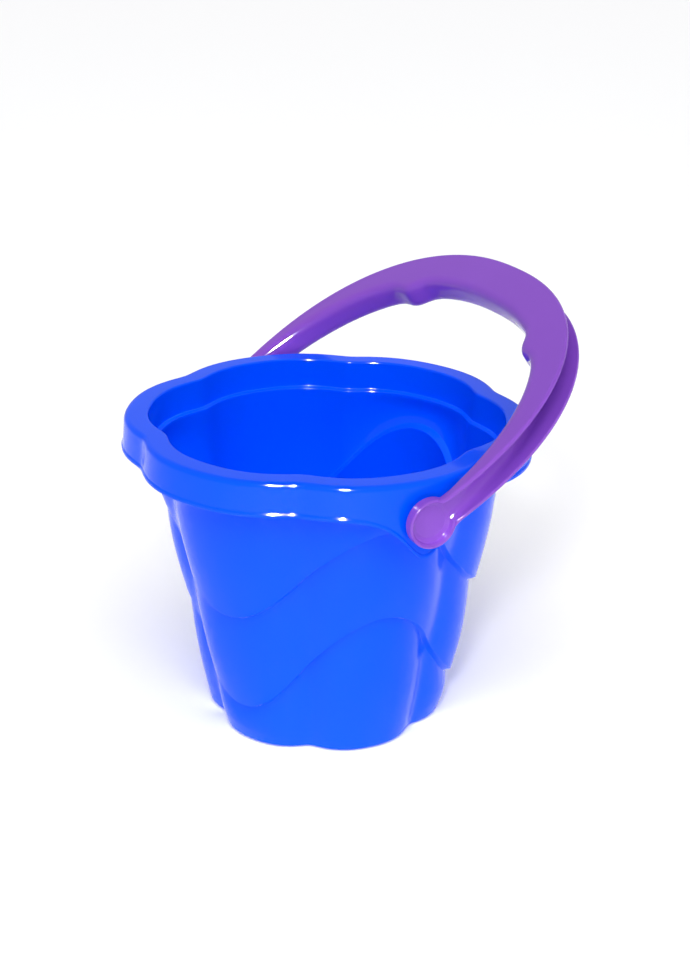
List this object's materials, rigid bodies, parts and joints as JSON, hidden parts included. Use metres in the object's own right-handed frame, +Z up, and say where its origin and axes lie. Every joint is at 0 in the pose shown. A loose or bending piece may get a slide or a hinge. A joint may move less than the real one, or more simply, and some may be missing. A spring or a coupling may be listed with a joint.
{
  "type": "sand bucket",
  "caption": "Lobed toy sand bucket with a stepped wavy wall, a turned-down rim with two ears, and a channel-section swing handle that snaps into the ears.",
  "frame": {"origin": "centre of the bucket's flat underside, on the surface it stands on", "axes": "+Z up, X along the handle's pivot axis, the handle leans towards +Y at rest"},
  "size_m": [0.2224, 0.2135, 0.2196],
  "materials": {
    "bucket_plastic": "glossy injection-moulded polypropylene, blue",
    "handle_plastic": "glossy injection-moulded polypropylene, purple"
  },
  "bodies": {
    "bucket": {"bucket": "bucket_plastic"},
    "handle": {"handle": "handle_plastic"}
  },
  "joints": [
    {"name": "handle_swing", "type": "hinge", "parent": "bucket", "child": "handle", "pos_m": [0, 0, 0.139], "axis": [1, 0, 0], "range_deg": [-82, 190]}
  ]
}
